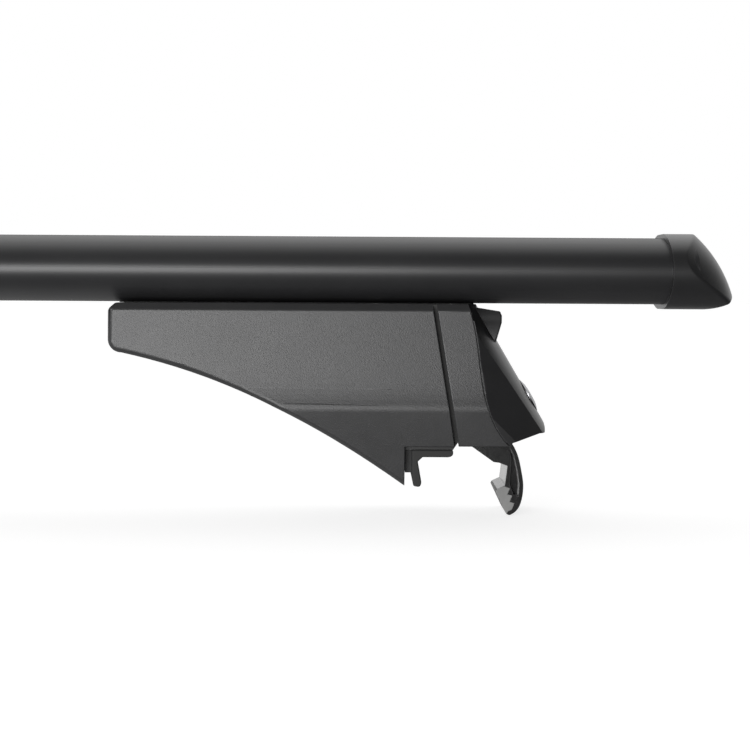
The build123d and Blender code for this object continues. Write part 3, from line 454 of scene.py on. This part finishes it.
def ease_flare(piece):
    """Cuts rows above the crease and sets the side walls there onto a long, slow flare."""
    cut_rows([CREASE + rise for rise in FLARE_ROWS])
    shape = bmesh.from_edit_mesh(piece.data)
    for vertex in shape.verts:
        z = (vertex.co.z - BAR_UNDERSIDE) / MM
        if CREASE + 0.01 < z < FLARE_START and abs(abs(vertex.co.y) / MM - half_width(z)) < WALL_TOLERANCE:
            vertex.co.y = math.copysign(half_width(z) * MM, vertex.co.y)
    bmesh.update_edit_mesh(piece.data)


def widen_crease(piece):
    """Cuts rows beside the crease and presses what stands out there onto a wider rounding."""
    cut_rows([CREASE + rise for rise in CREASE_ROWS])
    shape = bmesh.from_edit_mesh(piece.data)
    for vertex in shape.verts:
        drop = (vertex.co.z - BAR_UNDERSIDE) / MM - CREASE
        if abs(drop) < CREASE_REACH + 0.01 and abs(vertex.co.y) > crease_width(drop) * MM:
            vertex.co.y = math.copysign(crease_width(drop) * MM, vertex.co.y)
    bmesh.update_edit_mesh(piece.data)


def fairing(side, sign):
    piece = merged_copy(f"inner_fairing_{side}", f"fairing_{side}")
    flatten_bosses(piece)
    ease_flare(piece)

    def outline(start, end):
        x, y, z = in_foot((start + end) / 2, sign)
        at_notch = x > NOTCH_BACK - 0.2 and z < NOTCH_TOP + 0.3
        if at_notch or z >= SHELL_TOP or x >= seam(z) - SEAM_MARGIN:
            return False
        return on_side(start, sign) and on_side(end, sign)

    def end_corner(start, end):
        ends = [in_foot(point, sign) for point in (start, end)]
        return all(x < END_CORNER_BACK and z > END_CORNER_BOTTOM for x, y, z in ends)

    round_edges(piece, outline, 2.2, 5, profile=0.36)
    round_edges(piece, lambda a, b: on_side(a, sign) and on_side(b, sign), 0.5, 2)
    round_edges(piece, end_corner, 0.9, 3)
    widen_crease(piece)
    return finish_piece(piece, f"{side}_foot", "textured_plastic", [f"inner_fairing_{side}"])


def select_faces(piece, wanted):
    """Selects the faces whose middle and normal pass a test."""
    bpy.ops.mesh.select_mode(type="FACE")
    bpy.ops.mesh.select_all(action="DESELECT")
    shape = bmesh.from_edit_mesh(piece.data)
    for face in shape.faces:
        if wanted(face.calc_center_median(), face.normal):
            face.select_set(True)
    bmesh.update_edit_mesh(piece.data)


def add_parting_tongue(piece, sign):
    """Raises a narrow tongue on the wall ends that face the lock cover, which closes the gap."""

    def wall_end(middle, normal):
        x, y, z = in_foot(middle, sign)
        in_wall = abs(y) > half_width(z) - TONGUE_REACH
        return in_wall and sign * normal.x > 0.75 and x > 20.5 and SHELL_BOTTOM < z < SHELL_TOP

    select_faces(piece, wall_end)
    bpy.ops.mesh.inset(thickness=TONGUE_INSET, use_boundary=True)
    bpy.ops.mesh.extrude_region_move(TRANSFORM_OT_translate={"value": (sign * TONGUE_RISE, 0, 0)})


def housing(side, sign):
    piece = merged_copy(f"outer_housing_{side}", f"housing_{side}")
    flatten_bosses(piece)
    ease_flare(piece)
    add_parting_tongue(piece, sign)
    round_edges(piece, lambda a, b: on_side(a, sign) and on_side(b, sign), 0.6, 3)
    widen_crease(piece)
    return finish_piece(piece, f"{side}_foot", "textured_plastic", [f"outer_housing_{side}"])


def cover(side, sign):
    """Lock cover with rounded edges and a finger grip that narrows towards its top."""
    piece = merged_copy(f"lock_cover_{side}", f"cover_{side}")
    round_edges(piece, anywhere, 0.45, 3, 30.0, clamp=True)
    cut_rows(GRIP_ROWS)
    shape = bmesh.from_edit_mesh(piece.data)
    for vertex in shape.verts:
        x, y, z = in_foot(vertex.co, sign)
        if x > 26.5 + 0.09 * z and z > GRIP_BOTTOM and abs(y) < 12.2 and x - 26.0 > -0.55 * z - 3.0:
            share = (z - GRIP_BOTTOM) / -GRIP_BOTTOM
            vertex.co.y *= 1 - GRIP_NARROWING * share**2
    bmesh.update_edit_mesh(piece.data)
    return finish_piece(piece, f"{side}_cover", "satin_plastic", [f"lock_cover_{side}"])


def softened(node, name, body, slot, offset, segments=2, sharp=30.0):
    """A CAD node's shape with all its outward edges rounded."""
    piece = merged_copy(node, name)
    round_edges(piece, anywhere, offset, segments, sharp, clamp=True)
    return finish_piece(piece, body, slot, [node])


def seam_shade_strip(side, sign):
    """Dark rubber strips sunk in the seam between the fairing and the housing: painted shade, a dark sheet
    that stands in for the shade inside the seam's gap.
    """
    bpy.ops.object.select_all(action="DESELECT")
    bpy.ops.mesh.primitive_cube_add(size=1.0, location=(0, 0, 0))
    piece = bpy.context.object
    piece.name = f"seam_shade_strip_{side}"
    edit_only(piece)
    bpy.ops.mesh.select_all(action="SELECT")
    bpy.ops.mesh.duplicate_move(TRANSFORM_OT_translate={"value": (0, SHADE_STRIP_APART, 0)})
    for height in SHADE_STRIP_ROWS:
        bpy.ops.mesh.select_all(action="SELECT")
        bpy.ops.mesh.bisect(plane_co=(0, 0, height), plane_no=(0, 0, 1))
    shape = bmesh.from_edit_mesh(piece.data)
    for vertex in shape.verts:
        z = SHADE_STRIP_TOP + (SHADE_STRIP_BOTTOM - SHADE_STRIP_TOP) * (0.5 - vertex.co.z)
        rear = vertex.co.y > SHADE_STRIP_APART / 2
        outward = vertex.co.y - (SHADE_STRIP_APART if rear else 0.0)
        depth = SHADE_STRIP_DEPTH if (outward > 0) == rear else SHADE_STRIP_DEPTH + SHADE_STRIP_THICKNESS
        y = (half_width(z) - depth) * (1 if rear else -1)
        x = seam(z) + (SEAM_GAP + SHADE_STRIP_OVERLAP if vertex.co.x > 0 else -SHADE_STRIP_OVERLAP)
        vertex.co = Vector((sign * (FOOT_X + x * MM), y * MM, BAR_UNDERSIDE + z * MM))
    bmesh.update_edit_mesh(piece.data)
    bpy.ops.mesh.select_all(action="SELECT")
    bpy.ops.mesh.normals_make_consistent(inside=False)
    return finish_piece(piece, f"{side}_foot", "rubber")


def gasket(side, sign):
    """Thin rubber strip on top of the shells, which closes the gap to the bar."""
    place = (sign * (FOOT_X + GASKET_SHIFT), 0, BAR_UNDERSIDE - GASKET_SINK)
    bpy.ops.object.select_all(action="DESELECT")
    bpy.ops.mesh.primitive_cube_add(size=1.0, location=place, scale=GASKET_SIZE)
    piece = bpy.context.object
    piece.name = f"bar_gasket_{side}"
    bpy.ops.object.transform_apply(location=True, rotation=True, scale=True)
    edit_only(piece)
    round_edges(piece, lambda a, b: abs(a.z - b.z) > 0.0001, 3.0, 4)
    round_edges(piece, lambda a, b: min(a.z, b.z) > BAR_UNDERSIDE - 0.0001, 0.12, 2)
    return finish_piece(piece, f"{side}_foot", "rubber")


for side, sign in SIDES:
    fairing(side, sign)
    housing(side, sign)
    gasket(side, sign)
    seam_shade_strip(side, sign)
    cover(side, sign)
    softened(f"jaw_{side}", f"hook_{side}", f"{side}_jaw", "coated_casting", 0.55, 3)
    softened(f"jaw_pad_{side}", f"hook_pad_{side}", f"{side}_jaw", "grey_rubber", 0.2, 2)
    softened(f"rail_pad_{side}", f"pad_{side}", f"{side}_foot", "rubber", 0.8, 3)
    softened(f"base_bracket_{side}", f"bracket_{side}", f"{side}_foot", "coated_steel", 0.35, 2)


# Floor, light and camera
def plain_material(name, shade, roughness):
    material, _, shader, _ = start_material(name, roughness)
    shader.inputs["Base Color"].default_value = (shade, shade, shade, 1.0)
    shader.inputs["Specular IOR Level"].default_value = 0.0
    return material


def lay_floor():
    bpy.ops.mesh.primitive_plane_add(size=30.0, location=(0, 0, 0))
    floor = bpy.context.object
    floor.name = "studio_floor"
    pale = plain_material("pale_floor", 0.4, 0.9)
    shader = pale.node_tree.nodes["Principled BSDF"]
    shader.inputs["Emission Color"].default_value = (1.0, 1.0, 1.0, 1.0)
    shader.inputs["Emission Strength"].default_value = 0.75
    floor.data.materials.append(pale)
    floor.visible_glossy = False
    floor.visible_shadow = False


def soft_box(name, place, aim, width, height, power):
    """Rectangular area light turned to face a point."""
    light = bpy.data.lights.new(name, "AREA")
    light.shape = "RECTANGLE"
    light.size = width
    light.size_y = height
    light.energy = power
    lamp = bpy.data.objects.new(name, light)
    bpy.context.scene.collection.objects.link(lamp)
    lamp.location = place
    lamp.rotation_euler = (Vector(aim) - Vector(place)).to_track_quat("-Z", "Y").to_euler()
    return lamp


def set_world():
    """White behind the object, brighter above, dark in front, darkest below and to the right."""
    world = bpy.data.worlds.new("studio")
    bpy.context.scene.world = world
    world.use_nodes = True
    tree = world.node_tree
    place = tree.nodes.new("ShaderNodeTexCoord")
    parts = add_node(tree, "ShaderNodeSeparateXYZ", {"Vector": place.outputs["Generated"]})

    def ramp(value, start, end, low, high):
        return add_node(
            tree, "ShaderNodeMapRange",
            {"Value": value, "From Min": start, "From Max": end, "To Min": low, "To Max": high},
            interpolation_type="SMOOTHSTEP",
        ).outputs["Result"]

    upper = ramp(parts.outputs["Z"], 0.28, 0.65, 1.0, 1.5)
    under = ramp(parts.outputs["X"], -0.25, 0.15, 0.5, 0.1)
    lower = ramp(parts.outputs["Z"], -0.1, -0.5, 1.0, 0.0)
    lowest = add_node(tree, "ShaderNodeMath", {0: lower, 1: under}, operation="MAXIMUM").outputs[0]
    behind = add_node(tree, "ShaderNodeMath", {0: upper, 1: lowest}, operation="MULTIPLY").outputs[0]
    height = ramp(parts.outputs["Z"], 0.2, 1.0, 0.15, 0.5)
    across = ramp(parts.outputs["X"], -0.6, 0.4, 1.2, 0.2)
    before = add_node(tree, "ShaderNodeMath", {0: height, 1: across}, operation="MULTIPLY").outputs[0]
    depth = ramp(parts.outputs["Y"], -0.08, 0.45, 0.0, 1.0)
    glow = add_node(tree, "ShaderNodeMix", {"Factor": depth}, data_type="FLOAT")
    beside = ramp(parts.outputs["X"], 0.5, 0.85, 1.0, 0.3)
    shaded = add_node(tree, "ShaderNodeMath", {0: behind, 1: beside}, operation="MULTIPLY").outputs[0]
    tree.links.new(before, glow.inputs["A"])
    tree.links.new(shaded, glow.inputs["B"])
    tree.links.new(glow.outputs["Result"], tree.nodes["Background"].inputs["Strength"])
    tree.nodes["Background"].inputs["Color"].default_value = (1.0, 1.0, 1.0, 1.0)


CAMERA_PLACE = Vector((0.4556, -0.7065, 0.1005))
CAMERA_YAW = math.radians(-0.07)
CAMERA_ROLL = math.radians(0.335)
CAMERA_SHIFT = -0.1113
CAMERA_FOCAL_PIXELS = 1531.85
FRAME_PIXELS = 750
SENSOR = 36.0


def place_camera():
    data = bpy.data.cameras.new("camera")
    data.sensor_width = SENSOR
    data.lens = CAMERA_FOCAL_PIXELS * SENSOR / FRAME_PIXELS
    data.shift_y = CAMERA_SHIFT
    data.clip_start = 0.01
    data.clip_end = 100.0
    camera = bpy.data.objects.new("camera", data)
    bpy.context.scene.collection.objects.link(camera)
    ahead = Vector((-math.sin(CAMERA_YAW), math.cos(CAMERA_YAW), 0))
    level = Vector((math.cos(CAMERA_YAW), math.sin(CAMERA_YAW), 0))
    up = Vector((0, 0, 1))
    side = level * math.cos(CAMERA_ROLL) + up * math.sin(CAMERA_ROLL)
    head = up * math.cos(CAMERA_ROLL) - level * math.sin(CAMERA_ROLL)
    turn = Matrix((side, head, -ahead)).transposed().to_4x4()
    camera.matrix_world = Matrix.Translation(CAMERA_PLACE) @ turn
    bpy.context.scene.camera = camera


bpy.context.scene.view_settings.view_transform = "Standard"
lay_floor()
set_world()
soft_box("front_soft_box", (-0.11, -1.0, 0.0), (-0.11, 0, 0.1), 1.12, 0.6, 30.0)
place_camera()
